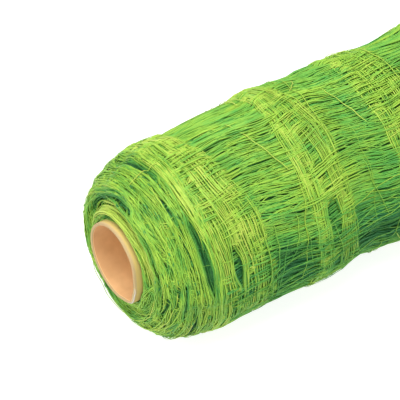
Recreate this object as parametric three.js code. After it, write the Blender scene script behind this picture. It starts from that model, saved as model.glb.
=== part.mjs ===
// A roll of wide-mesh plastic trellis netting, wound on a plain cardboard tube and lying on its side.
//
// Millimetres, +Z up, +X along the roll. The near end of the roll is at -X. The origin is on the
// surface that the roll lies on, below the middle of its box.
//
// The netting is one solid of its wound form. Its lengthwise cords lie in bundles that run along
// the roll, and its edge cords lie over them as bands that go round it, one band for each mesh.
// The end faces are rings of turns round the tube. Below, the weight of the roll has pressed a
// narrow flat into it.

import * as THREE from "three";

// Driving dimensions
const TUBE_LENGTH = 500;
const TUBE_BORE = 76;
const TUBE_WALL = 3;
const WOUND_DIAMETER = 192;
const WOUND_SETBACK = 9; // how far the tube stands out of the netting at each end
const SHOULDER_LENGTH = 52; // from the end of the tube to where the roll has its full thickness
const BAND_HEIGHT = 2.2; // how far a band stands out from the bundles beside it
const BAND_EDGE = 9; // how wide the slope at a band's edge is
const PRESSED_DEPTH = 3.4; // how far the netting is pressed in where the roll lies on it
const FIT_GAP = 0.3; // between the tube and the netting round it

// How finely the surfaces are divided: round the roll, and along it on a band and between bands
const SIDES = 90;
const BAND_STEP = 15;
const BAY_STEP = 10;

const TUBE_RADIUS = TUBE_BORE / 2 + TUBE_WALL;
const WOUND_RADIUS = WOUND_DIAMETER / 2;
const AXIS_HEIGHT = WOUND_RADIUS - PRESSED_DEPTH;
const MIDDLE = TUBE_LENGTH / 2;
const DEGREE = Math.PI / 180;

// An end face and its shoulder: the distance in from the end of the tube, at each radius.
// The first rows are two rings of turns with a hollow between them.
const END_FACE = [
  { inward: WOUND_SETBACK - 1.5, radius: 47 },
  { inward: WOUND_SETBACK + 2.5, radius: 54.5 },
  { inward: WOUND_SETBACK - 0.5, radius: 62 },
  { inward: WOUND_SETBACK + 1.5, radius: 69.5 },
  { inward: WOUND_SETBACK + 7, radius: 76.5 },
  { inward: WOUND_SETBACK + 14.5, radius: 83 },
  { inward: WOUND_SETBACK + 24, radius: 88.8 },
  { inward: WOUND_SETBACK + 33, radius: 93 },
  { inward: SHOULDER_LENGTH, radius: 95.4 },
];

// The bands of turns, one for each mesh: along is the distance from the near end of the tube to a
// band's middle, which drifts to and fro as the band goes round.
const BANDS = [
  { along: 87, width: 66 },
  { along: 195, width: 46 },
  { along: 304, width: 50 },
  { along: 413, width: 64 },
];
const DRIFT = 2.4;
const DRIFT_START = 200; // the angle round the roll at which the drift begins
const MESH_PITCH = BANDS[1].along - BANDS[0].along;

// Where the winding swells and draws in along the roll.
const SWELL = [
  { along: 0, out: 0 },
  { along: 50, out: -0.8 },
  { along: 78, out: 0.6 },
  { along: 104, out: 0 },
  { along: 158, out: 1.0 },
  { along: 198, out: 1.4 },
  { along: 222, out: -1.2 },
  { along: 248, out: -2.6 },
  { along: 272, out: -0.6 },
  { along: 312, out: 0.8 },
  { along: 350, out: -0.4 },
  { along: 404, out: 1.2 },
  { along: 440, out: 0 },
  { along: 500, out: -0.8 },
];

// Bundles of lengthwise cords: how many lie round the roll, how high they are, how far they
// wander round it in one mesh, and where the first one lies.
const BUNDLES = [
  { around: 7, height: 0.9, wander: 7, start: 20 },
  { around: 13, height: 1.3, wander: -4, start: 75 },
  { around: 19, height: 1.3, wander: 3, start: 140 },
];

// Rings on the end faces are deepest at this angle round the roll, where the turns have slipped.
const SLIPPED_ANGLE = 62;
const SLIPPED_DEPTH = 5.5;
const SLIPPED_RADIUS = 56;
const SLIPPED_WIDTH = 9;

// The tube's mouth is a little out of round: out is the change in radius at each angle.
const MOUTH = [
  { angle: 0, out: -0.4 },
  { angle: 40, out: -0.6 },
  { angle: 90, out: 0.6 },
  { angle: 135, out: -0.4 },
  { angle: 178, out: -3.4 },
  { angle: 205, out: -1.2 },
  { angle: 226, out: 3.0 },
  { angle: 248, out: 0.4 },
  { angle: 300, out: -0.4 },
  { angle: 360, out: -0.4 },
];
const MOUTH_REACH = 60; // how far into the tube the mouth's shape fades out
const MOUTH_DEPTHS = [WOUND_SETBACK, 0.4 * MOUTH_REACH, 0.7 * MOUTH_REACH, MOUTH_REACH];

// A value read off a table, smoothly between its rows.
function read(table, key, value, at) {
  const last = table.length - 1;
  if (at <= table[0][key]) return table[0][value];
  if (at >= table[last][key]) return table[last][value];
  const row = table.findIndex((entry) => entry[key] > at);
  const before = table[row - 1];
  const after = table[row];
  const share = (at - before[key]) / (after[key] - before[key]);
  return THREE.MathUtils.lerp(before[value], after[value], share * share * (3 - 2 * share));
}

// 1 at the middle of a hump, 0 at its edge and beyond.
function hump(distance, halfWidth) {
  const share = Math.min(Math.abs(distance) / halfWidth, 1);
  return 0.5 + 0.5 * Math.cos(Math.PI * share);
}

// How far a place along the roll is under a band, from 0 between bands to 1 on one.
function bandCover(along) {
  const inside = BANDS.map((band) => band.width / 2 - Math.abs(along - band.along));
  return THREE.MathUtils.smoothstep(Math.max(...inside), -BAND_EDGE / 2, BAND_EDGE / 2);
}

// How far the turns have drifted along the roll at an angle round it. The end faces have not.
function drift(angle, faceShare) {
  const turned = angle - DRIFT_START * DEGREE;
  return DRIFT * (1 - faceShare) * (Math.sin(turned) + 0.4 * Math.sin(3 * turned));
}

// The bundles show between the bands and are pressed down under them.
function bundleHeight(along, angle) {
  const shown = 1 - 0.7 * bandCover(along);
  const way = (along / MESH_PITCH) * Math.PI;
  return BUNDLES.reduce((sum, { around, height, wander, start }) => {
    const turned = angle + (start + wander * Math.sin(way)) * DEGREE;
    return sum + shown * height * Math.cos(around * turned);
  }, 0);
}

function slippedDepth(radius, angle) {
  const facing = 0.5 + 0.5 * Math.cos(angle - SLIPPED_ANGLE * DEGREE);
  return SLIPPED_DEPTH * facing ** 2 * hump(radius - SLIPPED_RADIUS, SLIPPED_WIDTH);
}

// How far the wound surface stands out at one place, measured square to its plain form.
function relief(along, radius, angle, faceShare) {
  const side = read(SWELL, "along", "out", along) + BAND_HEIGHT * bandCover(along);
  const lengthwise = side + bundleHeight(along, angle);
  return (1 - faceShare) * lengthwise - faceShare * slippedDepth(radius, angle);
}

// How far the tube's wall is pushed out of round, from its ends inwards.
function outOfRound(along, angle) {
  const depth = Math.min(along, TUBE_LENGTH - along);
  const degrees = (THREE.MathUtils.euclideanModulo(angle, 2 * Math.PI) / Math.PI) * 180;
  const share = along < MIDDLE ? 1 : 0.5;
  return share * hump(depth, MOUTH_REACH) * read(MOUTH, "angle", "out", degrees);
}

// A point at a distance from the near end of the tube, out from its axis and round it.
function placed(along, radius, angle) {
  const height = AXIS_HEIGHT + radius * Math.sin(angle);
  return new THREE.Vector3(along - MIDDLE, radius * Math.cos(angle), Math.max(height, 0));
}

// A closed outline of rows { along, radius } turned about the roll's axis, each point then moved
// to where reshape says. The outline runs so that the solid's faces look outwards.
function turned(outline, reshape) {
  const profile = [...outline, outline[0]].map((row) => new THREE.Vector2(row.radius, row.along));
  const geometry = new THREE.LatheGeometry(profile, SIDES);
  const position = geometry.getAttribute("position");
  const normal = geometry.getAttribute("normal");
  const rows = profile.length;
  for (let i = 0; i < position.count; i += 1) {
    const side = Math.floor(i / rows) % SIDES;
    const row = i % rows;
    const angle = (side / SIDES) * 2 * Math.PI;
    const faceShare = Math.min(Math.abs(normal.getY(i)), 1);
    const point = reshape(outline[row % outline.length], angle, faceShare);
    position.setXYZ(i, point.x, point.y, point.z);
  }
  geometry.computeVertexNormals();
  return geometry;
}

// Where the mouth's shape needs a row, from the near end of the tube to the far one.
function mouthRows() {
  return [...MOUTH_DEPTHS, ...MOUTH_DEPTHS.map((depth) => TUBE_LENGTH - depth).reverse()];
}

function tubeOutline() {
  const rows = [0, ...mouthRows(), TUBE_LENGTH];
  const outer = rows.map((along) => ({ along, radius: TUBE_RADIUS }));
  const inner = rows.map((along) => ({ along, radius: TUBE_BORE / 2 })).reverse();
  return [...outer, ...inner];
}

function tubeGeometry() {
  return turned(tubeOutline(), ({ along, radius }, angle) =>
    placed(along, radius + outOfRound(along, angle), angle),
  );
}

// Rows at about a step apart, from one place along the roll to another, with both of them.
function spaced(from, to, step) {
  const steps = Math.max(Math.round((to - from) / step), 1);
  return Array.from({ length: steps + 1 }, (_, i) => THREE.MathUtils.lerp(from, to, i / steps));
}

// The rows between the shoulders: each band's own, with a bay's between one band and the next.
function sideRows() {
  const half = BAND_EDGE / 2;
  return BANDS.flatMap((band, i) => {
    const end = band.along + band.width / 2;
    const start = i === 0 ? SHOULDER_LENGTH + BAND_EDGE : band.along - band.width / 2 + half;
    const stop = i === BANDS.length - 1 ? TUBE_LENGTH - SHOULDER_LENGTH - BAND_EDGE : end - half;
    const onBand = spaced(start, stop, BAND_STEP);
    const next = BANDS[i + 1];
    if (!next) return onBand;
    return [...onBand, ...spaced(end + half, next.along - next.width / 2 - half, BAY_STEP)];
  });
}

function woundOutline() {
  const bore = TUBE_RADIUS + FIT_GAP;
  const near = END_FACE.map(({ inward, radius }) => ({ along: inward, radius }));
  const far = END_FACE.map(({ inward, radius }) => ({ along: TUBE_LENGTH - inward, radius })).reverse();
  const side = sideRows().map((along) => ({ along, radius: WOUND_RADIUS }));
  const [mouth, ...inner] = mouthRows().map((along) => ({ along, radius: bore, inBore: true }));
  return [mouth, ...near, ...side, ...far, ...inner.reverse()];
}

function woundGeometry() {
  return turned(woundOutline(), ({ along, radius, inBore }, angle, faceShare) => {
    if (inBore) return placed(along, radius + outOfRound(along, angle), angle);
    const out = relief(along, radius, angle, faceShare);
    const outwards = along < MIDDLE ? -faceShare * out : faceShare * out;
    const sideShare = Math.sqrt(1 - faceShare * faceShare);
    return placed(along + outwards + drift(angle, faceShare), radius + sideShare * out, angle);
  });
}

function part() {
  const cardboard = new THREE.MeshStandardMaterial({ color: 0xe2b27a, roughness: 0.85, metalness: 0 });
  const netting = new THREE.MeshStandardMaterial({ color: 0x6cc02c, roughness: 0.45, metalness: 0 });

  const tube = new THREE.Mesh(tubeGeometry(), cardboard);
  tube.name = "cardboard_tube";
  const wound = new THREE.Mesh(woundGeometry(), netting);
  wound.name = "wound_netting";

  const roll = new THREE.Group();
  roll.add(tube, wound);
  const middle = new THREE.Box3().setFromObject(roll).getCenter(new THREE.Vector3());
  [tube, wound].forEach((solid) => solid.geometry.translate(0, -middle.y, 0));
  return roll;
}

const roll = part();
export default roll;
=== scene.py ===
"""A roll of trellis netting on a cardboard tube, with its floor, lights and camera."""

import math

import bpy
import numpy as np
from mathutils import Matrix, Vector


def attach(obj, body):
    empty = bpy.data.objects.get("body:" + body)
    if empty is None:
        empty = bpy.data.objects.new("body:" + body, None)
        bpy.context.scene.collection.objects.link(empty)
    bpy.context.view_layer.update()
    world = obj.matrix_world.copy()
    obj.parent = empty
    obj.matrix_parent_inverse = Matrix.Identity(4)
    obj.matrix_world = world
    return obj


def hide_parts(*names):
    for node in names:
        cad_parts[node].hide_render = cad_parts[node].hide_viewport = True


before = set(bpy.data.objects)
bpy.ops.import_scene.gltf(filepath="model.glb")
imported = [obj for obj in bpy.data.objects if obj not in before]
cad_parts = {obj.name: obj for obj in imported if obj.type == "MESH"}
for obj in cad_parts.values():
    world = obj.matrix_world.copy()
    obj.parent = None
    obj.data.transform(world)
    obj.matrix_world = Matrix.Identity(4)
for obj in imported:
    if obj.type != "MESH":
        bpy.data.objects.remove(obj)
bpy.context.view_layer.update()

# Lengths are in millimetres, and MM makes them metres. Angles round the roll go from the +Y side up
# over the top, in degrees in the tables.
MM = 0.001
TUBE_LENGTH = 500.0
TUBE_BORE_RADIUS = 38.0
TUBE_RADIUS = 41.0
WOUND_RADIUS = 96.0
PRESSED_DEPTH = 3.4
AXIS_HEIGHT = WOUND_RADIUS - PRESSED_DEPTH
AXIS_ASIDE = 0.13
MIDDLE = TUBE_LENGTH / 2
SHOULDER_END = 61.0
BAND_HEIGHT = 2.2
BAND_EDGE = 9.0
DRIFT = 2.4
DRIFT_START = 200.0
MESH_PITCH = 108.0

# An end face and its shoulder, from the tube outwards: inward from the tube's end, radius.
END_FACE = np.array([
    (9.0, 41.3), (7.5, 47.0), (11.5, 54.5), (8.5, 62.0), (10.5, 69.5), (16.0, 76.5),
    (23.5, 83.0), (33.0, 88.8), (42.0, 93.0), (52.0, 95.4), (SHOULDER_END, WOUND_RADIUS),
])
# Where the winding swells and draws in: along, out.
SWELL = np.array([
    (0, -0.6), (50, -2.4), (78, -1.2), (104, -2.8), (130, -2.0), (158, -1.2), (184, -0.3),
    (198, 1.1), (212, 1.1), (225, 0), (248, -3.2), (266, -0.6), (280, -1.2), (300, -1.5),
    (322, -2.0), (350, -2.0), (404, 0.4), (440, -1.0), (500, -0.8),
])
# How far the winding lies off the tube's axis: along, towards the lean's angle. The whole of it
# shows from LEAN_SPAN outside the tube.
LEAN_ANGLE = math.radians(222.5)
LEAN_SPAN = 40
LEAN = np.array([
    (0, 3.6), (30, 3.6), (45, 2.8), (75, 2.6), (100, 2.4), (130, 1.7), (157, 1.3), (184, 1.7),
    (197, 0.7), (212, -0.9), (225, -1.3), (240, -1.2), (266, -0.5), (300, 0.8), (336, 1.0),
    (500, 0),
])
# Places where the winding is sunk between bands: along, angle, half length, half angle, depth.
SUNK = [
    (144, 182, 28, 26, 4.0),
    (256, 202, 18, 20, 2.2),
    (356, 40, 30, 24, 3.0),
    (140, 300, 26, 24, 3.0),
    (250, 330, 26, 22, 3.0),
]
# Sides of the roll where the lengthwise strands are slack and the turns bridge them: angle, half
# angle.
SLACK = [(188, 40), (338, 30)]
# The angle of the low side, painted in shade as a darker, greener tint, and its half angle.
LOW_SIDE, LOW_SIDE_SPREAD = 200, 62
# The angle that the roll lies on, and the half angle where its weight keeps partings shut.
UNDERSIDE, PRESSED_SPREAD = 270, 46
# Bundles that lie lengthwise: around, height, wander, start.
BUNDLES = [(7, 0.9, 7, 20), (13, 1.3, -4, 75), (19, 1.3, 3, 140)]
# Where the turns of an end face have slipped inwards: angle, depth, radius, width.
SLIPPED = (62.0, 5.5, 56.0, 9.0)
# The tube's mouth is a little out of round: angle, out.
MOUTH = np.array([
    (0, -0.4), (40, -0.6), (90, 0.6), (135, -0.4), (178, -3.4), (205, -1.2), (226, 3.0),
    (248, 0.4), (300, -0.4), (360, -0.4),
])
# How far in it is out of round, and how much of that the far mouth has.
MOUTH_REACH, FAR_MOUTH_SHARE = 60.0, 0.5
# Turns within this radius follow the mouth, and wholly so by this much nearer the tube.
HUGGING_RADIUS, HUGGING_SPAN = 58, 16
# Each band's two edges along the roll at angles round it: angle, start, end.
BANDS = [
    np.array([(0, 56, 112), (64, 53, 98), (82, 51, 99), (107, 49, 107), (143, 52, 120),
              (166, 54, 125), (200, 56, 128), (250, 58, 118), (300, 57, 112), (360, 56, 112)]),
    np.array([(0, 178, 214), (64, 187, 211), (90, 178, 218), (112, 172, 224), (146, 172, 220),
              (170, 173, 221), (200, 176, 226), (260, 178, 216), (360, 178, 214)]),
    np.array([(0, 284, 326), (60, 281, 324), (100, 276, 330), (150, 279, 333), (200, 282, 336),
              (260, 286, 328), (310, 288, 324), (360, 284, 326)]),
    np.array([(0, 385, 444), (50, 380, 446), (110, 388, 441), (160, 381, 447), (220, 376, 449),
              (280, 386, 443), (360, 385, 444)]),
]
# Where turns have parted: angle, path, half angle, half width, slope per degree, depth.
PARTED = [
    (58, 26.0, 52, 7.2, 0.18, 9.0),
    (66, 36.5, 26, 1.3, 0.2, 2.5),
    (58, 19.5, 24, 1.3, 0.12, 2.5),
    (68, 3.2, 26, 2.6, 0.0, 4.0),
    (72, 71.0, 27, 3.4, 0.30, 5.0),
    (151, 80.0, 32, 4.2, 0.13, 6.5),
    (146, 27.0, 34, 1.9, 0.0, 3.5),
    (188, 33.0, 15, 1.6, -0.5, 2.2),
    (177, 45.0, 14, 1.5, -0.5, 2.2),
    (208, 44.0, 14, 1.4, -0.3, 2.0),
    (164, 112.0, 14, 4.4, 0.0, 5.5),
    (161, 224.5, 11, 3.6, 0.1, 4.5),
    (180, 53.0, 20, 1.8, -0.2, 2.6),
    (215, 66.0, 26, 2.4, 0.1, 3.2),
    (330, 62.0, 30, 3.2, -0.1, 5.0),
    (20, 44.0, 22, 3.0, 0.2, 4.0),
    (290, 24.0, 30, 3.4, 0.1, 5.0),
]
# How far round the roll the far end's partings lie from those of the near end.
FAR_TURN = 140
# How many half widths of a parting are taken up by its hollow, its painted shade, the lengthwise
# strands buried in it and the turns that it pushes aside.
HOLLOW_REACH, SHADE_REACH, BURIED_REACH, PUSHED_REACH = 1.5, 1.6, 2.8, 3.2
# Painted shade, a darker greener tint, in a parting, per millimetre sunk and on the low side.
PARTED_SHADE, SUNK_SHADE, LOW_SIDE_SHADE = 0.42, 0.045, 0.24
# How deep the core and a buried strand lie.
CORE_DEPTH, BURIED_DEPTH = 4.6, 10.0
# The gap in a split band: its place across the band, what lies beyond it, the angle where it is
# widest and the half angle of that.
GAP_AT, PAST_GAP, GAP_ANGLE, GAP_SPREAD = 0.46, 0.54, 158, 95
BAND_MIDDLES = np.array([87, 195, 304, 413])
# Where along the roll the lengthwise strands are bundled afresh.
ZONES = np.array([20.0, 50, 87, 118, 141, 165, 195, 226, 250, 274, 304, 332, 358, 384, 413, 448,
                  480])
END_ZONE_REACH = 60
# Where along the roll the lengthwise strands are greener, and how much.
GREENER, GREENER_REACH = [(262, 0.09), (358, 0.03)], 45
# Steps of the fine outline, and how many of the first take in an end face and reach the side.
OUTLINE_STEPS, FACE_STEPS, SIDE_STEPS = 900, 150, 200
# How far the turns of an end face go along the outline, and where the lengthwise strands begin.
FACE_REACH, SIDE_START = 96.0, 84
# The share of an end face's bundles that bridge a parting.
BRIDGING = 0.3


def smooth_read(table, column, at):
    """A table's column read off smoothly between its rows."""
    keys, values = table[:, 0].astype(float), table[:, column].astype(float)
    at = np.clip(at, keys[0], keys[-1])
    row = np.clip(np.searchsorted(keys, at, side="right") - 1, 0, len(keys) - 2)
    share = (at - keys[row]) / (keys[row + 1] - keys[row])
    share = share * share * (3 - 2 * share)
    return values[row] + (values[row + 1] - values[row]) * share


def hump(distance, half_width):
    """1 at the middle of a hump, 0 at its edge and beyond."""
    return 0.5 + 0.5 * np.cos(np.pi * np.minimum(np.abs(distance) / half_width, 1))


def smoothstep(value, low, high):
    """0 up to low, 1 from high on, and smooth between."""
    share = np.clip((value - low) / (high - low), 0, 1)
    return share * share * (3 - 2 * share)


def away_from(degrees, middle):
    """Degrees round the roll from a middle angle, from -180 to 180."""
    return (degrees - middle + 180) % 360 - 180


def whole_round(steps):
    """Angles evenly round the roll, in one row."""
    return np.linspace(0, 2 * math.pi, steps, endpoint=False)[None, :]


def evenly(first, last, steps):
    """Values evenly from the first to the last, in one row."""
    return np.linspace(first, last, steps)[None, :]


def parted_places(path, angle):
    """For each parting, and its likeness at the far end: the distance from its middle line, how
    open it is there, its half width and its depth. The roll's weight keeps them shut below."""
    degrees = np.degrees(angle)
    unpressed = 1 - hump(away_from(degrees, UNDERSIDE), PRESSED_SPREAD)
    for middle, at, half_angle, half_width, slope, depth in PARTED:
        both = (middle, at, slope), (middle + FAR_TURN, PATH_END - at, -slope)
        for turned, start, lean in both:
            away = away_from(degrees, turned)
            lens = np.clip(1 - (away / half_angle) ** 2, 0, 1) ** 1.5 * unpressed
            yield path - (start + lean * away), lens, half_width, depth


def parted_share(path, angle):
    """How deep a place lies in a parting, from 0 to 1."""
    deep = np.zeros(np.broadcast(path, angle).shape)
    for offset, lens, half_width, _ in parted_places(path, angle):
        deep = np.maximum(deep, lens * hump(offset, half_width * SHADE_REACH))
    return deep


def buried(path, angle):
    """How far a strand that crosses a parting goes down, out of sight, in it and on its sides."""
    near = np.zeros(np.broadcast(path, angle).shape)
    for offset, lens, half_width, _ in parted_places(path, angle):
        near = np.maximum(near, np.sqrt(lens) * hump(offset, half_width * BURIED_REACH))
    return BURIED_DEPTH * smoothstep(near, 0.08, 0.4)


def shade(path, angle):
    """Painted shade, darker and greener: the tint taken off in partings, sunk places and low down.
    """
    along = along_at(path)
    deep = PARTED_SHADE * parted_share(path, angle) + SUNK_SHADE * sunk_depth(along, angle)
    low_side = hump(away_from(np.degrees(angle), LOW_SIDE), LOW_SIDE_SPREAD)
    return deep + LOW_SIDE_SHADE * low_side * smoothstep(along, 40, 100)


def sunk_depth(along, angle):
    """How deep the winding is sunk at a place between bands."""
    degrees = np.degrees(angle)
    depth = 0.0
    for middle, at, half_length, half_angle, most in SUNK:
        away = away_from(degrees, at)
        ragged = half_length * (1 + 0.25 * np.sin(5 * angle + middle))
        depth = depth + most * hump(along - middle, ragged) * hump(away, half_angle)
    return depth


def slack_share(angle):
    """How slack the lengthwise strands are at an angle round the roll, from 0 to 1."""
    degrees = np.degrees(angle)
    share = 0.0
    for middle, half_angle in SLACK:
        share = share + hump(away_from(degrees, middle), half_angle)
    return share


def bundle_relief(along, angle):
    """The bundles that lie lengthwise, where no band draws them in."""
    way = along / MESH_PITCH * math.pi
    total = 0.0
    for around, height, wander, start in BUNDLES:
        turned = angle + np.radians(start + wander * np.sin(way))
        total = total + height * np.cos(around * turned)
    return total


def fine_profile():
    """The surface's outline from one mouth of the tube to the other: path length, place, normal."""
    far = END_FACE[::-1] * (-1, 1) + (TUBE_LENGTH, 0)
    side = np.array([(x, WOUND_RADIUS) for x in np.arange(72, TUBE_LENGTH - 71, 12.0)])
    rows = np.vstack([END_FACE, side, far])
    knots = np.concatenate([[0], np.cumsum(np.hypot(*np.diff(rows, axis=0).T))])
    slope = np.gradient(rows, knots, axis=0)
    path = np.linspace(0, knots[-1], OUTLINE_STEPS)
    row = np.clip(np.searchsorted(knots, path, side="right") - 1, 0, len(knots) - 2)
    span = (knots[row + 1] - knots[row])[:, None]
    share = (path - knots[row])[:, None] / span
    square, cube = share**2, share**3
    place = ((2 * cube - 3 * square + 1) * rows[row]
             + (cube - 2 * square + share) * span * slope[row]
             + (-2 * cube + 3 * square) * rows[row + 1]
             + (cube - square) * span * slope[row + 1])
    way = np.gradient(place, axis=0)
    way /= np.linalg.norm(way, axis=1)[:, None]
    return path, place, np.stack([-way[:, 1], way[:, 0]], axis=1)


PATH, PLACE, NORMAL = fine_profile()
PATH_END = PATH[-1]
SIDE_OFFSET = np.interp(SHOULDER_END, PLACE[:SIDE_STEPS, 0], PATH[:SIDE_STEPS]) - SHOULDER_END


def path_at(along):
    """The path length of a place on the roll's side, by its distance from the near end."""
    return along + SIDE_OFFSET


def along_at(path):
    """How far along the roll a place on the outline is."""
    return np.interp(path, PATH, PLACE[:, 0])


def radius_at(path):
    return np.interp(path, PATH, PLACE[:, 1])


def from_end(path, far):
    """A path length counted from the near end, or from the far end."""
    return PATH_END - path if far else path


def band_edges(band, angle):
    degrees = np.degrees(angle) % 360
    return smooth_read(band, 1, degrees), smooth_read(band, 2, degrees)


def band_cover(along, angle):
    """How far a place is under a band, from 0 between bands to 1 on one."""
    inside = np.full(np.broadcast(along, angle).shape, -1e3)
    for band in BANDS:
        start, end = band_edges(band, angle)
        inside = np.maximum(inside, np.minimum(along - start, end - along))
    return smoothstep(inside, -BAND_EDGE / 2, BAND_EDGE / 2)


def relief(along, radius, angle, face_share):
    """How far the wound surface stands out, square to its plain outline."""
    cover = band_cover(along, angle)
    side = smooth_read(SWELL, 1, along) + BAND_HEIGHT * cover
    side = side + (1 - 0.7 * cover) * bundle_relief(along, angle)
    side = side - sunk_depth(along, angle)
    slip_angle, slip_depth, slip_radius, slip_width = SLIPPED
    facing = 0.5 + 0.5 * np.cos(angle - math.radians(slip_angle))
    slipped = slip_depth * facing**2 * hump(radius - slip_radius, slip_width)
    return (1 - face_share) * side - face_share * slipped


def mouth_out(along, angle):
    """How far the tube's mouth, and the innermost turns that hug it, stand out of round."""
    depth = np.minimum(along, TUBE_LENGTH - along)
    out = hump(depth, MOUTH_REACH) * smooth_read(MOUTH, 1, np.degrees(angle) % 360)
    return out * np.where(along < MIDDLE, 1.0, FAR_MOUTH_SHARE)


def surface(path, angle, height):
    """Points in metres on the wound surface, raised by height, and the surface's normals."""
    along, radius = along_at(path), radius_at(path)
    n_along, n_out = np.interp(path, PATH, NORMAL[:, 0]), np.interp(path, PATH, NORMAL[:, 1])
    face_share = np.abs(n_along)
    out = relief(along, radius, angle, face_share) + height
    for offset, lens, half_width, depth in parted_places(path, angle):
        out = out - depth * lens * hump(offset, half_width * HOLLOW_REACH)
    turned = angle - math.radians(DRIFT_START)
    drift = DRIFT * (1 - face_share) * (np.sin(turned) + 0.4 * np.sin(3 * turned))
    x = along + n_along * out + drift - MIDDLE
    hugging = np.clip((HUGGING_RADIUS - radius) / HUGGING_SPAN, 0, 1)
    r = radius + n_out * out + mouth_out(along, angle) * hugging
    lean = smooth_read(LEAN, 1, along) * np.clip((radius - TUBE_RADIUS) / LEAN_SPAN, 0, 1)
    y = AXIS_ASIDE + r * np.cos(angle) + lean * math.cos(LEAN_ANGLE)
    z = AXIS_HEIGHT + r * np.sin(angle) + lean * math.sin(LEAN_ANGLE)
    # Nothing goes under what the roll lies on, and the deeper strands lie a little higher there.
    z = np.maximum(z, 0.7 + 0.25 * np.clip(1.5 - height, 0, 8))
    point = np.stack([x, y, z], axis=-1) * MM
    normal = np.stack([n_along, n_out * np.cos(angle), n_out * np.sin(angle)], axis=-1)
    return point, normal


def link(name, data):
    piece = bpy.data.objects.new(name, data)
    bpy.context.scene.collection.objects.link(piece)
    return piece


def make_mesh(name, points, corners, sizes):
    """A smooth mesh from its points, its faces' corners in a row and how many each face has."""
    mesh = bpy.data.meshes.new(name)
    mesh.vertices.add(len(points))
    mesh.vertices.foreach_set("co", points.astype(np.float32).ravel())
    mesh.loops.add(len(corners))
    mesh.loops.foreach_set("vertex_index", corners.astype(np.int32))
    mesh.polygons.add(len(sizes))
    starts = np.concatenate([[0], np.cumsum(sizes)[:-1]]).astype(np.int32)
    mesh.polygons.foreach_set("loop_start", starts)
    mesh.update(calc_edges=True)
    mesh.polygons.foreach_set("use_smooth", np.ones(len(sizes), bool))
    return link(name, mesh)


def set_tint(mesh, values):
    """The value that picks a point's colour from its material's ramp."""
    tint = mesh.attributes.new("tint", "FLOAT", "POINT")
    tint.data.foreach_set("value", values.astype(np.float32).ravel())


def grid_corners(rows, columns, close_rows):
    """The rows and the columns that each face's four corners lie at, in a grid whose columns close
    and whose rows close if asked. Past the last they count on."""
    sizes = (rows if close_rows else rows - 1, columns)
    row, column = np.indices(sizes).reshape(2, -1, 1)
    return row + np.array([0, 0, 1, 1]), column + np.array([0, 1, 1, 0])


def grid_mesh(name, point, close_rows, order):
    """A mesh from rows of points. The order of a face's corners says which side is the outer."""
    rows, columns = point.shape[:2]
    row, column = grid_corners(rows, columns, close_rows)
    faces = (row % rows * columns + column % columns)[:, order]
    return make_mesh(name, point.reshape(-1, 3), faces.ravel(), np.full(len(faces), 4))


# A strand's section is a flattened triangle. Its two ends are thinner, and its strip of the baked
# picture leaves a margin.
SECTION = np.radians([90, 210, 330])
SIDES, FLATNESS, END_WIDTH, STRIP = len(SECTION), 0.55, 0.3, 0.8


def unit(vectors):
    return vectors / np.maximum(np.linalg.norm(vectors, axis=2, keepdims=True), 1e-9)


def per_step(values, shape):
    """Values given strand by strand, or step by step, spread over every step."""
    return np.broadcast_to(np.asarray(values, float).reshape(shape[0], -1), shape)


def strand_rings(strands):
    """The points of a family's strands, ring by ring along each."""
    place, normal = surface(strands["path"], strands["angle"], strands["height"])
    if strands["closed"]:
        way = unit(np.roll(place, -1, axis=1) - np.roll(place, 1, axis=1))
    else:
        way = unit(np.gradient(place, axis=1))
    aside = unit(np.cross(normal, way))
    up = np.cross(way, aside)
    half = per_step(strands["width"], place.shape[:2]) * (0.5 * MM / math.cos(math.pi / 6))
    if not strands["closed"]:
        half[:, [0, -1]] *= END_WIDTH
    half = half[:, :, None, None]
    ring = (place[:, :, None, :] + half * np.cos(SECTION)[:, None] * aside[:, :, None, :]
            + half * FLATNESS * np.sin(SECTION)[:, None] * up[:, :, None, :])
    return ring.reshape(-1, 3)


def strand_faces(steps, closed):
    """One strand's faces and where their corners lie along and across its strip."""
    ring, side = grid_corners(steps, SIDES, closed)
    faces, u, v = ring % steps * SIDES + side % SIDES, ring / steps, side / SIDES - 0.5
    if not closed:
        last = (steps - 1) * SIDES
        faces = np.vstack([faces, [[2, 1, 0, 0], [last, last + 1, last + 2, last + 2]]])
        u = np.vstack([u, [[0.0] * 4, [1.0] * 4]])
        v = np.vstack([v, [[-0.3, 0.0, 0.3, 0.3]] * 2])
    return faces, u, v


def strand_piece(name, families, material):
    """One mesh of many strands, with a strip of the baked picture for each."""
    points, faces, tints, uvs = [], [], [], []
    total = sum(len(strands["path"]) for strands in families)
    first_point = first_strand = 0
    for strands in families:
        count, steps = strands["path"].shape
        points.append(strand_rings(strands))
        tint = per_step(strands["tint"], (count, steps)) - shade(strands["path"], strands["angle"])
        tints.append(np.repeat(tint.ravel(), SIDES))
        quads, u, v = strand_faces(steps, strands["closed"])
        starts = first_point + np.arange(count) * steps * SIDES
        faces.append((starts[:, None, None] + quads[None]).reshape(-1, 4))
        row = (first_strand + np.arange(count) + 0.5) / total
        v = row[:, None, None] + STRIP * v[None] / total
        uvs.append(np.stack([np.broadcast_to(u[None], v.shape), v], axis=-1).reshape(-1, 4, 2))
        first_point += count * steps * SIDES
        first_strand += count
    faces = np.vstack(faces)
    # The two end caps of an open strand are triangles: their doubled corner is dropped.
    cap = faces[:, 2] == faces[:, 3]
    kept = np.ones(faces.shape, bool)
    kept[cap, 3] = False
    piece = make_mesh(name, np.vstack(points), faces[kept], np.where(cap, 3, 4))
    layer = piece.data.uv_layers.new(name="OFBake")
    layer.data.foreach_set("uv", np.vstack(uvs)[kept].astype(np.float32).ravel())
    set_tint(piece.data, np.concatenate(tints))
    piece.data.materials.append(material)
    return piece


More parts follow.
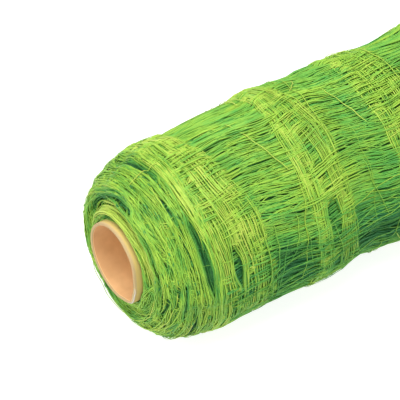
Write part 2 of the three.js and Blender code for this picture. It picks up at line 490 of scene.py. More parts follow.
def family(path, angle, height, width, tint, closed=False):
    """Strands to be laid, one row each and one column a step. Closed ones go right round."""
    path, angle = np.broadcast_arrays(path, angle)
    return dict(path=path, angle=angle, height=height, width=width, tint=tint, closed=closed)


def random_angles(rng, count):
    """An angle anywhere round the roll for each strand."""
    return rng.uniform(0, 2 * math.pi, (count, 1))


def wave_starts(rng, count):
    """Where each strand's wave begins."""
    return rng.uniform(0, 6.28, (count, 1))


def varied(rng, path, angle, height, width_range, tint_range):
    """A family whose strands differ in width and tint."""
    width = rng.uniform(*width_range, len(angle))
    return family(path, angle, height, width, rng.uniform(*tint_range, len(angle)))


def bundle_tones(rng, tint_range, bundle, spread):
    """Tints that the strands of a bundle nearly share."""
    return rng.uniform(*tint_range, bundle.max() + 1)[bundle] + rng.normal(0, spread, len(bundle))


def ripple(rng, angle, count, sizes):
    """A wander that closes round the roll: one row a strand, sizes for 1, 2, 3... waves a turn."""
    total = np.zeros((count, angle.shape[-1]))
    for order, size in enumerate(sizes, start=1):
        amount = rng.normal(0, size, (count, 1))
        total += amount * np.cos(order * angle + random_angles(rng, count))
    return total


def shared(rng, count, group):
    """Which bundle each strand of a row belongs to, bundles being about group strands thick."""
    ends = np.cumsum(rng.integers(max(group - 2, 1), group + 3, count))
    return np.searchsorted(ends, np.arange(count), side="right")


def tuft_places(sizes):
    """Each strand's tuft, and its place across it from -1 to 1."""
    place = np.concatenate([np.linspace(-1, 1, size) for size in sizes])
    return np.repeat(np.arange(len(sizes)), sizes), place


def part_turns(path, angle, share):
    """Strands pushed aside where turns have parted, each to one side of the parting."""
    for offset, lens, half_width, _ in parted_places(path, angle):
        pushed_width = PUSHED_REACH * half_width
        opened = half_width * lens * share
        side = np.where((offset * lens).sum(axis=1, keepdims=True) < 0, -1.0, 1.0)
        own_way = np.clip(side * offset, 0, pushed_width)
        moved = side * (opened + own_way * (pushed_width - opened) / pushed_width)
        held = smoothstep(lens, 0, 0.35) * (np.abs(offset) < pushed_width)
        path = path + held * (moved - offset)
    return path


def face_turns(rng, layer_height, spacing, wander, tint_range, parted, steps, rough, far):
    """Turns round the tube, on an end face and its shoulder."""
    angle = whole_round(steps)
    at = np.arange(1.0, FACE_REACH, spacing)
    count = len(at)
    bundle = shared(rng, count, 3)
    bundles = bundle.max() + 1
    swing = ripple(rng, angle, bundles, wander * np.array([1, 0.6, 0.35, 0.2]))[bundle]
    own = ripple(rng, angle, count, [0.5, 0.4, 0.35, 0.3, 0.25, 0.2, 0.25, 0.25, 0.2, 0.2])
    own = own + rough * rng.normal(0, 0.42, own.shape)
    # Turns wander less beside the tube and at the edge of the shoulder.
    free = (np.clip(at / 18, 0.12, 1) * np.clip((FACE_REACH + 6 - at) / 20, 0.35, 1))[:, None]
    path = at[:, None] + (swing * free + own * np.minimum(free * 2, 1))
    path = np.maximum(path, 0.6)
    height = layer_height + 0.7 * ripple(rng, angle, bundles, [0.5, 0.4, 0.4, 0.3])[bundle]
    height = height + ripple(rng, angle, count, [0.12] * 2 + [0.15] * 6)
    height = height + rough * rng.normal(0, 0.3, own.shape)
    # Turns that are pushed aside less stand higher across a parting.
    aside = parted * np.where(rng.uniform(0, 1, bundles) < BRIDGING, 0.25, 1.0)[bundle][:, None]
    path = part_turns(from_end(path, far), angle, aside)
    height = height + BRIDGING * (1 - aside) * 5 * parted_share(path, angle)
    tone = bundle_tones(rng, tint_range, bundle, 0.05)
    return family(path, angle, height, rng.uniform(0.85, 1.35, count), tone, closed=True)


def taut_turns(rng, first_angle, last_angle, path_range, count, tint_range, lift, far):
    """Taut strands side by side along part of an end's round."""
    steps = 44
    share = evenly(0, 1, steps)
    start = math.radians(first_angle) + rng.uniform(-0.25, 0.25, (count, 1))
    end = math.radians(last_angle) + rng.uniform(-0.35, 0.35, (count, 1))
    path = rng.uniform(*path_range, (count, 1)) + rng.normal(0, 1.6, (count, 1)) * (share - 0.5)
    waves = rng.uniform(4, 9, (count, 1)) * share + wave_starts(rng, count)
    path = path + 0.5 * np.sin(waves)
    path = path + 6.0 * smoothstep(share, 0.62, 1.0) * rng.uniform(0.2, 1.0, (count, 1))
    height = lift * rng.uniform(0.6, 2.4, (count, 1)) - 2.6 * np.abs(2 * share - 1) ** 8
    height = height + (1 - lift) * rng.normal(0, 0.4, (count, steps))
    angle = start + (end - start) * share
    return varied(rng, from_end(path, far), angle, height, (0.9, 1.3), tint_range)


def face_chords(rng, layer_height, count, tint_range, far):
    """Turns that cross an end face straight, as a wound strand does, dipping under at both ends."""
    group = shared(rng, count, 4)
    groups = group.max() + 1
    touch = rng.uniform(44, 82, (groups, 1))[group] + rng.normal(0, 1.6, (count, 1))
    middle = random_angles(rng, groups)[group] + rng.normal(0, 0.05, (count, 1))
    reach = np.arccos(np.clip(touch / 95.0, 0, 0.995)) * rng.uniform(0.75, 1.0, (count, 1))
    share = evenly(-1, 1, 24)
    away = share * reach
    radius = np.minimum(touch / np.cos(away), 95.3)
    path = np.interp(radius, PLACE[:FACE_STEPS, 1], PATH[:FACE_STEPS])
    path = path + 0.7 * np.sin(6 * share + wave_starts(rng, count))
    height = layer_height - 2.2 * np.abs(share) ** 4 + rng.normal(0, 0.25, (count, 1))
    path = part_turns(from_end(path, far), middle + away, 0.8)
    tone = bundle_tones(rng, tint_range, group, 0.07)
    return family(path, middle + away, height, rng.uniform(0.8, 1.25, count), tone)


def band_turns(rng, number, layer_height, spacing, tint_range, split=0.0, steps=60, dipped=0.0,
               rough=0.0, fine_half=0.0):
    """Turns round the roll in one band. A dipped turn goes under the lengthwise strands in places,
    oftener towards the band's edges. A band with a fine half has thinner, paler turns past its
    gap."""
    band = BANDS[number]
    angle = whole_round(steps)
    count = int((band[:, 2] - band[:, 1]).mean() / spacing)
    share = ((np.arange(count) + rng.uniform(-0.35, 0.35, count) + 0.5) / count)[:, None]
    edge = np.abs(2 * share - 1) ** 2
    start, end = band_edges(band, angle)
    bundle = shared(rng, count, 9 if fine_half else 4)
    swing = ripple(rng, angle, bundle.max() + 1, [0.9, 0.8, 0.7, 0.5])[bundle]
    own = ripple(rng, angle, count, [0.35, 0.3, 0.3, 0.25, 0.25] + [0.2] * 5)
    own = own * (1 - 0.45 * fine_half)
    if split:
        opened = split * (0.35 + 0.65 * hump(away_from(np.degrees(angle), GAP_ANGLE), GAP_SPREAD))
        low, high = GAP_AT - opened / 2, GAP_AT + opened / 2
        share = np.where(share < GAP_AT, share / GAP_AT * low,
                         high + (share - GAP_AT) / PAST_GAP * (1 - high))
    path = path_at(start + share * (end - start)) + swing + own
    path = path + rough * rng.normal(0, 0.4, path.shape)
    path = part_turns(path, angle, 1.0)
    height = layer_height + rough * rng.normal(0, 0.35, path.shape)
    height = height + 0.25 * ripple(rng, angle, count, [0.6, 0.5, 0.5, 0.4, 0.4])
    weave = ripple(rng, angle, count, [0.3] * 3 + [0.4] * 9)
    dip = dipped * smoothstep(weave - 0.75 + 0.9 * edge, 0, 0.5)
    tone = bundle_tones(rng, tint_range, bundle, 0.05)
    past_gap = np.arange(count) > GAP_AT * count
    tone = tone + fine_half * 0.08 * past_gap
    tone = tone[:, None] + 0.05 * ripple(rng, angle, count, [0.6] * 8)
    width = rng.uniform(1.2, 1.75, count) * (1 - 0.25 * fine_half * past_gap)
    return family(path, angle, height - 2.2 * dip, width, tone, closed=True)


def band_joints(rng, number, columns, row_gap, kept, tint_range, sizes=(4, 9), reach=(3.5, 8.0)):
    """Flat junctions of the mesh, drawn together in tufts that lie lengthwise over a band."""
    rows = int(2 * math.pi * WOUND_RADIUS / row_gap)
    row, column = np.meshgrid(np.arange(rows), np.asarray(columns), indexing="ij")
    tufts = row.size
    shown = rng.uniform(0, 1, tufts) < kept
    turned = (row.ravel() + rng.uniform(-0.4, 0.4, tufts)) / rows * 2 * math.pi
    across = column.ravel() + rng.uniform(-0.09, 0.09, tufts)
    tone = rng.uniform(*tint_range, tufts)
    lean, narrowing = rng.normal(0, 0.10, tufts), rng.uniform(-0.4, 0.4, tufts)
    sizes = rng.integers(*sizes, tufts)
    tuft, place = tuft_places(sizes)
    keep = shown[tuft]
    tuft, place = tuft[keep], place[keep]
    count = len(tuft)
    share = evenly(-1, 1, 5)
    half_length = rng.uniform(*reach, (count, 1))
    half_across = (sizes[tuft] * 0.48)[:, None]
    start, end = band_edges(BANDS[number], turned[tuft])
    along = (start + across[tuft] * (end - start))[:, None] + rng.uniform(-3, 3, (count, 1))
    run = share * half_length
    slant = lean[tuft][:, None] + rng.normal(0, 0.09, (count, 1))
    aside = place[:, None] * half_across * (1 + narrowing[tuft][:, None] * share) + run * slant
    angle = turned[tuft][:, None] + aside / WOUND_RADIUS
    height = rng.uniform(0.3, 0.9, (count, 1)) - 1.8 * np.abs(share) ** 2
    height = height - buried(path_at(along), angle[:, 2:3])
    width = rng.uniform(0.8, 1.3, (count, 1)) * np.array([0.5, 0.95, 1.1, 0.95, 0.5])
    tone = tone[tuft] + rng.normal(0, 0.05, count)
    return family(path_at(along + run), angle, height, width, tone)


def bay_windows(along):
    """For each zone: where it is, and how far a place belongs to it, from 0 to 1."""
    reach = np.diff(ZONES, prepend=ZONES[0] - END_ZONE_REACH, append=ZONES[-1] + END_ZONE_REACH)
    for zone, before, after in zip(ZONES, reach, reach[1:]):
        offset = along - zone
        yield zone, np.where(offset < 0, hump(offset, before), hump(offset, after))


def long_strands(rng, layer_height, count, pull, tint_range, bundle_gap, step, band_step,
                 woven=0.0, knots=0.0):
    """Strands that run along the roll, drawn together into bundles that differ bay by bay."""
    last = PATH_END - SIDE_START
    every = np.arange(SIDE_START, last)
    on_band = band_cover(along_at(every), math.radians(120))
    walked = np.concatenate([[0], np.cumsum(1 / np.where(on_band > 0, band_step, step))])
    points = int(walked[-1]) + 1
    path = np.interp(evenly(0, walked[-1], points), walked, np.append(every, last))
    along = along_at(path)
    around = 2 * math.pi * WOUND_RADIUS
    spacing = around / count
    place = (np.arange(count) * spacing + rng.uniform(-0.5, 0.5, count) * spacing)[:, None]
    offset, mound, slow, lifted = np.zeros((4, count, points))
    tone = rng.normal(0, 0.05, (count, 1)) + np.zeros((count, points))
    half_range, mid_tone = (tint_range[1] - tint_range[0]) / 2, sum(tint_range) / 2
    for zone, window in bay_windows(along):
        greener = sum(-amount * hump(zone - at, GREENER_REACH) for at, amount in GREENER)
        in_band = zone in BAND_MIDDLES
        closer, drawn, piled = (0.8, 0.55, 0.2) if in_band else (1.0, 1.0, 0.7)
        gaps = rng.uniform(*bundle_gap, 600) * closer
        centres = np.cumsum(gaps)
        centres = centres[centres < around - gaps.mean() / 2]
        bundles = len(centres)
        edges = (centres[1:] + centres[:-1]) / 2
        hop = rng.choice([-1, 0, 1], count, p=[0.18, 0.64, 0.18])
        which = np.clip(np.searchsorted(edges, place[:, 0]) + hop, 0, bundles - 1)
        target = centres[which] - place[:, 0]
        strength = pull * drawn * rng.uniform(0.75, 1.1, count)
        offset += window * (target * strength)[:, None]
        near = np.clip(1 - (target * (1 - pull) / 3.0) ** 2, 0, 1)
        mound += window * (near * piled)[:, None]
        tones = mid_tone + greener + rng.uniform(-half_range, half_range, bundles)
        tone += window * tones[which][:, None]
        if in_band and woven:
            # Some bundles come up over a band's turns, at its middle and to both sides of it.
            for place_up in (zone - 20, zone, zone + 20):
                kept = woven * (0.75 if place_up in (195, 215) else 1)
                over = rng.uniform(0, 1, bundles) < kept
                middle = place_up + rng.uniform(-8, 8, bundles)
                reach = rng.uniform(10, 22, bundles)
                own_middle = middle[which][:, None] + rng.normal(0, 2.0, (count, 1))
                lifted += over[which][:, None] * hump(along - own_middle, reach[which][:, None])
    for length, size in ((460, 3.0), (210, 1.35), (105, 0.66)):
        phase = random_angles(rng, count)
        slow += rng.normal(0, size, (count, 1)) * np.sin(2 * math.pi * along / length + phase)
    common = 3.0 * np.sin(2 * math.pi * along / MESH_PITCH - 1.9 + 0.4 * np.sin(place / 40))
    angle = (place + offset + slow + common) / WOUND_RADIUS
    cover = band_cover(along, angle)
    lifted = np.minimum(lifted * 1.6, 1) * cover
    slack = slack_share(angle)
    height = layer_height + mound + rng.normal(0, 0.2, (count, 1))
    height = height - cover * 1.5 + lifted * 2.4 - slack * rng.choice([0.4, 2.4], (count, 1))
    height = height - buried(path, angle)
    height = height - 2.0 * smoothstep(np.abs(along - MIDDLE), 180, 193)
    height = height + knots * rng.normal(0, 0.5, angle.shape) * cover
    angle = angle + knots * rng.normal(0, 0.5, angle.shape) * cover / WOUND_RADIUS
    # Bundles that come up over a band are paler, a painted highlight, and strands on the slack
    # sides are darker where they lie deep, a painted shade.
    tone = tone + 0.12 * lifted + 0.04 * cover - 0.2 * slack
    return family(path, angle, height, rng.uniform(1.0, 1.7, count), tone)


def face_strands(rng, count, layer_height, tint_range, far):
    """Strands that run out over an end face and its shoulder, among its turns."""
    path = evenly(3, 104, 28)
    angle = np.arange(count) / count + rng.uniform(-0.4, 0.4, count) / count
    angle = angle[:, None] * 2 * math.pi
    lean = rng.normal(0, 0.10, (count, 1)) + 0.12 * np.sin(3 * angle)
    bend = rng.normal(0, 0.05, (count, 1))
    angle = angle + lean * (path / 100) + bend * np.sin(path / 30 + 6 * angle)
    waves = path / rng.uniform(5, 9, (count, 1)) + wave_starts(rng, count)
    path = from_end(path, far)
    height = layer_height + 0.5 * np.sin(waves) - buried(path, angle)
    return varied(rng, path, angle, height, (0.7, 1.1), tint_range)


def face_tufts(rng, tufts, path_range, tint_range, far):
    """Short strands in tufts of three to five that cross the turns of an end face."""
    sizes = rng.integers(3, 6, tufts)
    tuft, place = tuft_places(sizes)
    count = len(tuft)
    middle = rng.uniform(*path_range, tufts)[tuft][:, None] + rng.uniform(-1.5, 1.5, (count, 1))
    turned = random_angles(rng, tufts)[tuft]
    share = evenly(-1, 1, 4)
    run = share * rng.uniform(2.0, 4.6, (count, 1))
    lean = rng.normal(0, 0.25, tufts)[tuft][:, None] + rng.normal(0, 0.1, (count, 1))
    aside = place[:, None] * sizes[tuft][:, None] * 0.55 + lean * run
    path, angle = from_end(middle + run, far), turned + aside / radius_at(middle)
    height = rng.uniform(0.3, 0.9, (count, 1)) - 1.8 * share**2
    height = height - buried(path[:, 2:3], angle[:, 2:3])
    width = rng.uniform(0.8, 1.2, count)
    return family(path, angle, height, width, rng.uniform(*tint_range, tufts)[tuft])


def slit_shade_strands(rng, count, path_range, tint_range, far):
    """Painted shade of slits: short dark lengths among the upper turns of an end face."""
    share = evenly(-1, 1, 4)
    path = rng.uniform(*path_range, (count, 1)) + share * rng.normal(0, 0.5, (count, 1))
    angle = random_angles(rng, count)
    angle = angle + share * rng.uniform(1.6, 3.6, (count, 1)) / radius_at(path)
    height = rng.uniform(0.5, 1.1, (count, 1)) - 0.7 * share**2
    width = rng.uniform(0.9, 1.5, (count, 1)) * np.array([0.5, 1.0, 1.0, 0.5])
    return family(from_end(path, far), angle, height, width, rng.uniform(*tint_range, count))


# Single strands that lie over the rest: angle and path of each end, how far the middle bows along
# the roll, how far it stands off, and its tint.
STRAYS = [
    (83.1, 50.2, 85.7, 87.7, 3, 2.4, 0.95),
    (77.8, 171.8, 125.4, 194.7, -4, 2.4, 0.95),
    (82, 276.5, 122.3, 294.3, -3, 2.4, 0.95),
    (66, 262, 78, 250, 5, 2.4, 0.95),
    (200, 300, 250, 330, 6, 2.4, 0.95),
    (320, 160, 375, 190, -6, 2.4, 0.95),
    (280, 420, 340, 395, 5, 2.4, 0.95),
    (15, 205.5, 72, 212, 2, 2.4, 0.95),
    (22, 210, 64, 203, -1.5, 3.4, 0.95),
    (18, 333, 70, 341, 2, 2.4, 0.95),
    (26, 339, 62, 331, -2, 3.4, 0.95),
    (170, 46, 236, 33, -3, 2.2, 0.95),
    (196, 62, 262, 50, 2, 2.4, 0.95),
    (184, 16, 232, 22, 2, 2.2, 0.95),
    (250, 42, 318, 34, 3, 3, 0.95),
    (268, 32, 344, 38, -2, 3.4, 0.95),
    (280, 44, 352, 30, 2, 2.8, 0.95),
    (150, 159, 192, 152, 3, 1.2, 0.62),
    (163, 171, 216, 158, -4, 1.2, 0.62),
    (148, 186, 181, 173, 2.5, 1.2, 0.62),
]


def stray_strands(rng):
    """The single strands of the table, with a faint wave in each."""
    columns = np.array(STRAYS).T[:, :, None]
    first_angle, first_path, last_angle, last_path, bow, stand_off, tint = columns
    share = evenly(0, 1, 24)
    arch = np.sin(math.pi * share)
    angle = np.radians(first_angle + (last_angle - first_angle) * share)
    path = first_path + (last_path - first_path) * share + bow * arch
    path = path + 0.5 * np.sin(7 * math.pi * share + wave_starts(rng, len(STRAYS)))
    along = along_at(path)
    on_side = smoothstep(along, 40, SHOULDER_END) * (1 - 0.7 * band_cover(along, angle))
    height = stand_off * arch**0.6 - 0.4 + on_side * (1.2 - bundle_relief(along, angle))
    height = height + 0.8 * sunk_depth(along, angle) * arch
    return family(path, angle, height, np.full(len(STRAYS), 1.05), tint)


def edge_loops(rng, count, tint_range, far):
    """Slack turns that stand a little off the round of an end."""
    share = evenly(0, 1, 30)
    middle = rng.uniform(14, 84, (count, 1))
    start = random_angles(rng, count)
    length = rng.uniform(0.7, 1.6, (count, 1))
    path = middle + rng.normal(0, 5, (count, 1)) * (share - 0.5)
    height = rng.uniform(1.2, 4.2, (count, 1)) * np.sin(math.pi * share) - 1.0
    angle = start + length * share
    return varied(rng, from_end(path, far), angle, height, (0.7, 1.0), tint_range)


def crossing_strands(rng, count, middle_angle, half_angle, tint_range):
    """Thin strands that lie slantwise over a slack side between the ends."""
    share = evenly(0, 1, 16)
    start = rng.uniform(70, PATH_END - 190, (count, 1))
    length = rng.uniform(60, 150, (count, 1))
    path = start + length * share
    angle = rng.uniform(middle_angle - half_angle, middle_angle + half_angle, (count, 1))
    angle = np.radians(angle) + rng.normal(0, 0.22, (count, 1)) * (share - 0.5)
    angle = angle + 0.03 * np.sin(math.pi * share * rng.uniform(1, 3, (count, 1)))
    height = rng.uniform(0.2, 1.6, (count, 1)) - 2.2 * np.abs(2 * share - 1) ** 6
    sunk = sunk_depth(along_at(path), angle)
    height = height + 0.75 * sunk * (1 - np.abs(2 * share - 1) ** 3)
    return varied(rng, path, angle, height, (0.75, 1.05), tint_range)


def loose_turns(rng, count, margin, lift, tint_range):
    """Single turns that lie loosely over the rest, not square to the roll."""
    middle = rng.uniform(margin, PATH_END - margin, (count, 1))
    start = random_angles(rng, count)
    length = rng.uniform(0.5, 2.2, (count, 1))
    share = evenly(0, 1, 46)
    slope = rng.normal(0, 16, (count, 1))
    bow = rng.normal(0, 5, (count, 1))
    path = middle + slope * (share - 0.5) + bow * np.sin(math.pi * share)
    path = path + 0.8 * np.sin(share * rng.uniform(6, 16, (count, 1)))
    height = lift * np.sin(math.pi * share) ** 0.5 * rng.uniform(0.3, 1.0, (count, 1))
    height = height - 1.2 * np.cos(math.pi * share) ** 6 + 0.6
    path = np.clip(path, 2, PATH_END - 2)
    return varied(rng, path, start + length * share, height, (0.8, 1.1), tint_range)


def set_inputs(node, values):
    for name, value in values.items():
        node.inputs[name].default_value = value


def principled(name, values):
    """A material, its node tree and its shader, with the values that are the same all over."""
    material = bpy.data.materials.new(name)
    material.use_nodes = True
    tree = material.node_tree
    shader = tree.nodes["Principled BSDF"]
    set_inputs(shader, values)
    return material, tree, shader


def noise_value(tree, scale, detail, stretch=None):
    """Noise laid over the piece's own coordinates, stretched if asked."""
    place = tree.nodes.new("ShaderNodeTexCoord").outputs["Object"]
    if stretch:
        mapping = tree.nodes.new("ShaderNodeMapping")
        mapping.inputs["Scale"].default_value = stretch
        tree.links.new(place, mapping.inputs["Vector"])
        place = mapping.outputs[0]
    noise = tree.nodes.new("ShaderNodeTexNoise")
    set_inputs(noise, {"Scale": scale, "Detail": detail})
    tree.links.new(place, noise.inputs["Vector"])
    return noise.outputs["Fac"]


def tint_value(tree):
    tint = tree.nodes.new("ShaderNodeAttribute")
    tint.attribute_name = "tint"
    return tint.outputs["Fac"]


def reckon(tree, operation, *terms):
    """A sum of numbers and of other nodes' values."""
    node = tree.nodes.new("ShaderNodeMath")
    node.operation = operation
    for socket, term in zip(node.inputs, terms):
        if isinstance(term, float):
            socket.default_value = term
        else:
            tree.links.new(term, socket)
    return node.outputs[0]


def add_bump(tree, shader, height, values):
    bump = tree.nodes.new("ShaderNodeBump")
    set_inputs(bump, values)
    tree.links.new(height, bump.inputs["Height"])
    tree.links.new(bump.outputs[0], shader.inputs["Normal"])


def ramp_node(tree, stops, factor):
    ramp = tree.nodes.new("ShaderNodeValToRGB")
    while len(ramp.color_ramp.elements) < len(stops):
        ramp.color_ramp.elements.new(0.5)
    for element, (at, colour) in zip(ramp.color_ramp.elements, stops):
        element.position = at
        element.color = (*colour, 1)
    tree.links.new(factor, ramp.inputs[0])
    return ramp.outputs[0]


def strand_material(name, stops):
    """Glossy plastic whose green varies strand by strand and a little along each."""
    material, tree, shader = principled(name, {"Roughness": 0.5, "Specular IOR Level": 0.26})
    shifted = reckon(tree, "SUBTRACT", tint_value(tree), 0.25)
    blend = reckon(tree, "MULTIPLY_ADD", noise_value(tree, 60, 2), 0.5, shifted)
    tree.links.new(ramp_node(tree, stops, blend), shader.inputs["Base Color"])
    return material


def core_material():
    """The winding deep under the surface: dark green as painted shade, ridged along the strands."""
    material, tree, shader = principled("netting_deep", {"Roughness": 0.6})
    noise = noise_value(tree, 1, 3, stretch=(40, 520, 520))
    stops = [(0.35, (0.022, 0.18, 0.042)), (0.6, (0.045, 0.25, 0.045)), (0.8, (0.08, 0.31, 0.045))]
    tree.links.new(ramp_node(tree, stops, noise), shader.inputs["Base Color"])
    add_bump(tree, shader, noise, {"Distance": 0.0012})
    return material


def cardboard_material():
    """Kraft board: brown with faint fibres. Its ramp goes from the bore through the cut rim and
    the outside to the bared paper, by tint."""
    material, tree, shader = principled("kraft_board", {"Roughness": 0.85})
    noise = noise_value(tree, 90, 6)
    blend = reckon(tree, "MULTIPLY_ADD", noise, 0.06, tint_value(tree))
    # The bore's two stops, from darker to paler brown, carry the painted light in the bore.
    stops = [(0.02, (0.48, 0.225, 0.08)), (0.15, (0.97, 0.64, 0.31)), (0.3, (0.43, 0.30, 0.14)),
             (0.45, (0.47, 0.34, 0.165)), (0.6, (0.60, 0.42, 0.13)), (0.75, (0.60, 0.44, 0.14)),
             (0.9, (0.42, 0.40, 0.36)), (1.0, (0.62, 0.60, 0.56))]
    tree.links.new(ramp_node(tree, stops, blend), shader.inputs["Base Color"])
    add_bump(tree, shader, noise, {"Distance": 0.0003, "Strength": 0.4})
    return material


GREENS = [
    (0.0, (0.030, 0.185, 0.055)),
    (0.35, (0.098, 0.355, 0.053)),
    (0.7, (0.290, 0.500, 0.051)),
    (1.0, (0.455, 0.575, 0.090)),
]


def ride(piece, slot, *nodes):
    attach(piece, "root")
    if nodes:
        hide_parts(*nodes)
    return piece


def core_piece():
    """The winding under the strands that show."""
    ends = 92
    path = np.concatenate([np.linspace(0, ends, 34), np.linspace(100, PATH_END - 100, 60),
                           np.linspace(PATH_END - ends, PATH_END, 34)])[:, None]
    path, angle = np.broadcast_arrays(path, whole_round(120))
    point, _ = surface(path, angle, -CORE_DEPTH)
    return grid_mesh("wound_core", point, close_rows=False, order=[1, 2, 3, 0])


def netting():
    rng = np.random.default_rng(20)
    green = strand_material("netting_green", GREENS)
    core = ride(core_piece(), "netting", "wound_netting")
    core.data.materials.append(core_material())
    # Here and on the end faces, most deeper layers take lower tints than the top ones: their darker
    # green is painted shade.
    layers = {
        "long_strands_top": [long_strands(rng, 0.1, 560, 0.45, (0.40, 0.66), (4.5, 11.0), 11.0,
                                          5.6, woven=0.42, knots=0.35)],
        "long_strands_middle": [long_strands(rng, -0.8, 460, 0.42, (0.42, 0.62), (4.0, 9.0), 13.0,
                                             13.0)],
        "long_strands_deep": [long_strands(rng, -2.0, 400, 0.3, (0.26, 0.5), (3.2, 6.6), 18.0,
                                           18.0)],
        "band_turns": [
            band_turns(rng, 0, 0.25, 1.55, (0.68, 0.84), steps=120, dipped=0.8, rough=0.45),
            band_turns(rng, 0, -1.0, 2.0, (0.52, 0.68)),
            band_turns(rng, 1, 0.3, 1.3, (0.60, 0.76), split=0.2, steps=110, dipped=0.9,
                       rough=0.3, fine_half=1.0),
            band_turns(rng, 1, -1.0, 2.4, (0.48, 0.66), split=0.2),
            band_turns(rng, 2, 0.25, 2.0, (0.58, 0.78), split=0.12, steps=110, dipped=1.0,
                       rough=0.35),
            band_turns(rng, 2, -1.3, 2.8, (0.4, 0.6), split=0.12),
            band_turns(rng, 3, 0.25, 2.0, (0.58, 0.78), steps=110, dipped=1.0, rough=0.35),
            band_turns(rng, 3, -1.3, 2.6, (0.4, 0.6)),
        ],
        # The junctions are real; their high tints also paint the highlights on their flat faces.
        "band_joints": [
            band_joints(rng, 0, (0.15, 0.35, 0.55, 0.75, 0.93), 9.0, 0.5, (0.72, 0.92)),
            band_joints(rng, 1, (0.15,), 16.0, 0.65, (0.76, 0.96), sizes=(9, 16), reach=(6, 10)),
            band_joints(rng, 1, (0.3, 0.85), 10.5, 0.4, (0.66, 0.85)),
            band_joints(rng, 2, (0.15,), 16.0, 0.7, (0.70, 0.88), sizes=(7, 13), reach=(6, 11)),
            band_joints(rng, 2, (0.5, 0.85), 11.0, 0.4, (0.64, 0.84)),
            band_joints(rng, 3, (0.15, 0.4, 0.65, 0.9), 10.0, 0.45, (0.64, 0.85)),
        ],
    }
    for end, far in (("near", False), ("far", True)):
        layers[end + "_face_turns"] = [
            face_turns(rng, 0.1, 1.25, 2.7, (0.49, 0.70), 1.0, steps=130, rough=0.8, far=far),
            face_chords(rng, 0.3, 180, (0.49, 0.71), far),
            taut_turns(rng, 20, 165, (6.5, 17.0), 34, (0.84, 1.0), 1.3, far),
            taut_turns(rng, 78, 138, (79.0, 87.0), 15, (0.80, 0.92), 0.3, far),
            face_turns(rng, -0.8, 1.25, 4.2, (0.44, 0.60), 0.6, steps=72, rough=0.7, far=far),
            face_turns(rng, -1.9, 1.5, 5.0, (0.38, 0.56), 0.1, steps=60, rough=0.5, far=far),
        ]
        layers[end + "_face_strands"] = [
            face_strands(rng, 90, -1.1, (0.45, 0.7), far),
            face_strands(rng, 90, -2.2, (0.2, 0.5), far),
            face_tufts(rng, 150, (22.0, 78.0), (0.60, 0.84), far),
            slit_shade_strands(rng, 240, (16.0, 80.0), (0.10, 0.30), far),
        ]
    layers["loose_turns"] = [
        loose_turns(rng, 40, 8, 2.2, (0.55, 0.85)),
        stray_strands(rng),
        crossing_strands(rng, 120, 190, 34, (0.42, 0.8)),
        crossing_strands(rng, 60, 338, 30, (0.42, 0.8)),
        edge_loops(rng, 22, (0.5, 0.9), False),
        edge_loops(rng, 22, (0.5, 0.9), True),
    ]
    for name, families in layers.items():
        ride(strand_piece(name, families, green), "netting")


# The tube's cut rim from the bore outwards: share of the wall, how far it is stepped back.
RIM = [(0.0, 0.5), (0.12, 0.1), (0.3, 0.0), (0.34, 0.35), (0.38, 0.0), (0.6, 0.05), (0.64, 0.45),
       (0.68, 0.05), (0.9, 0.15), (1.0, 0.6)]
OUTSIDE_ROWS = (4, 9, 24, 42, 60, 250, 440, 458, 476, 491, 498)
BORE_ROWS = (498, 491, 484, 476, 466, 458, 440, 250, 60, 42, 34, 24, 16, 9, 2)
# Where the near rim is peeled: its angle, half angle and depth, and the rim's rows of bared paper.
PEELED, PEELED_SPREAD, PEELED_DEPTH, BARED = 212, 34, 1.6, (4, 7, 8)
RIM_TINT, OUTSIDE_TINT, BARED_TINT, BORE_TINT = 0.33, 0.63, 0.9, 0.042
# Painted light: how much paler the bore is further in, and on its lower wall around the second
# angle.
INNER_PAINTED_LIGHT, LOWER_PAINTED_LIGHT, LOWER_ANGLE, LOWER_SPREAD = 0.036, 0.025, 272, 50


def tube_piece():
    """The cardboard tube, its cut ends stepped where the paper layers have parted."""
    wall = TUBE_RADIUS - TUBE_BORE_RADIUS
    near_rim = [(inset, TUBE_BORE_RADIUS + share * wall) for share, inset in RIM]
    far_rim = [(TUBE_LENGTH - inset, radius) for inset, radius in near_rim[::-1]]
    outside = [(along, TUBE_RADIUS) for along in OUTSIDE_ROWS]
    bore = [(along, TUBE_BORE_RADIUS) for along in BORE_ROWS]
    rows = np.array(near_rim + outside + far_rim + bore)
    along, radius = rows[:, :1], rows[:, 1:]
    wall_share = (radius - TUBE_BORE_RADIUS) / wall
    depth = np.minimum(along, TUBE_LENGTH - along)
    angle = whole_round(144)
    degrees = np.degrees(angle)
    peeled = hump(away_from(degrees, PEELED), PEELED_SPREAD) * (along < 1)
    x = along - MIDDLE + PEELED_DEPTH * peeled * smoothstep(wall_share, 0.3, 1.0)
    r = radius + mouth_out(along, angle)
    point = np.stack([x, AXIS_ASIDE + r * np.cos(angle), AXIS_HEIGHT + r * np.sin(angle)], axis=-1)
    piece = grid_mesh("tube_board", point * MM, close_rows=True, order=[0, 3, 2, 1])
    # The bore is painted paler further in and on its lower wall: painted light.
    inside = BORE_TINT + INNER_PAINTED_LIGHT * smoothstep(depth, 0, 24)
    inside = inside + LOWER_PAINTED_LIGHT * hump(degrees - LOWER_ANGLE, LOWER_SPREAD)
    tint = np.where(depth < 1, RIM_TINT, np.where(wall_share > 0.5, OUTSIDE_TINT, inside))
    bared = np.isin(np.arange(len(rows)), BARED)[:, None] & (peeled > 0.25)
    set_tint(piece.data, np.where(bared, BARED_TINT, tint))
    piece.data.materials.append(cardboard_material())
    return ride(piece, "cardboard", "cardboard_tube")


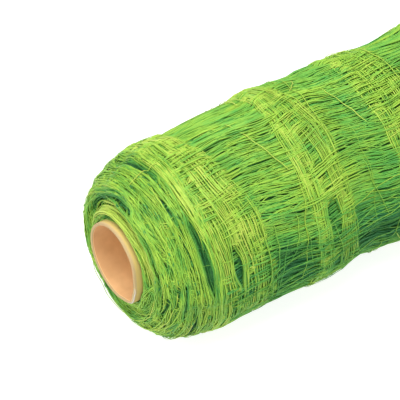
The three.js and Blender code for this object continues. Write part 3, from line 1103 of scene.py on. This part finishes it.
def floor():
    mesh = bpy.data.meshes.new("floor")
    mesh.from_pydata([(-6, -6, 0), (6, -6, 0), (6, 6, 0), (-6, 6, 0)], [], [(0, 1, 2, 3)])
    material, _, _ = principled("pale_floor", {
        "Base Color": (0.34, 0.34, 0.34, 1), "Roughness": 0.9,
        "Emission Color": (1, 1, 1, 1), "Emission Strength": 0.86})
    mesh.materials.append(material)
    link("floor", mesh)


def area_light(name, place, target, size, power):
    light = bpy.data.lights.new(name, "AREA")
    light.shape = "DISK"
    light.size = size
    light.energy = power
    lamp = link(name, light)
    lamp.location = place
    lamp.rotation_euler = (Vector(target) - Vector(place)).to_track_quat("-Z", "Y").to_euler()


def light():
    world = bpy.data.worlds.new("studio")
    bpy.context.scene.world = world
    world.use_nodes = True
    tree = world.node_tree
    place = tree.nodes.new("ShaderNodeTexCoord")
    apart = tree.nodes.new("ShaderNodeSeparateXYZ")
    tree.links.new(place.outputs["Generated"], apart.inputs[0])
    wall_to_sky = [(0.0, (1, 1, 1)), (0.09, (1, 1, 1)), (0.17, (0.5, 0.5, 0.5)), (1.0, (1, 1, 1))]
    sky = ramp_node(tree, wall_to_sky, apart.outputs["Z"])
    tree.links.new(sky, tree.nodes["Background"].inputs["Color"])
    area_light("key", (-0.35, -0.6, 3.0), (0, 0, 0.08), 1.8, 84)
    area_light("front", (-2.2, 0.25, 1.2), (-0.25, 0, 0.1), 1.0, 20)
    bpy.context.scene.view_settings.view_transform = "Standard"


# The camera looks along the photograph's direction from far off, through a long lens.
AZIMUTH, ELEVATION = math.radians(-34), math.radians(42)
MM_PER_PIXEL = 0.958
# Where the middle of the near mouth shows, and the picture's width, in pixels.
MOUTH_PIXEL, PICTURE = (113, 262), 400
CAMERA_DISTANCE, SENSOR = 3.2, 36


def camera():
    forward = Vector((-math.sin(AZIMUTH) * math.cos(ELEVATION),
                      math.cos(AZIMUTH) * math.cos(ELEVATION), -math.sin(ELEVATION)))
    right = Vector((math.cos(AZIMUTH), math.sin(AZIMUTH), 0))
    up = right.cross(forward)
    mouth = Vector((-MIDDLE, AXIS_ASIDE, AXIS_HEIGHT)) * MM
    step = MM_PER_PIXEL * MM
    middle = PICTURE / 2
    target = (mouth + (middle - MOUTH_PIXEL[0]) * step * right
              + (MOUTH_PIXEL[1] - middle) * step * up)
    data = bpy.data.cameras.new("camera")
    data.sensor_width = SENSOR
    data.lens = SENSOR * CAMERA_DISTANCE / (PICTURE * step)
    data.clip_end = 50
    cam = link("camera", data)
    turn = Matrix((right, up, -forward)).transposed().to_4x4()
    turn.translation = target - forward * CAMERA_DISTANCE
    cam.matrix_world = turn
    bpy.context.scene.camera = cam


camera()
light()
floor()
tube_piece()
netting()
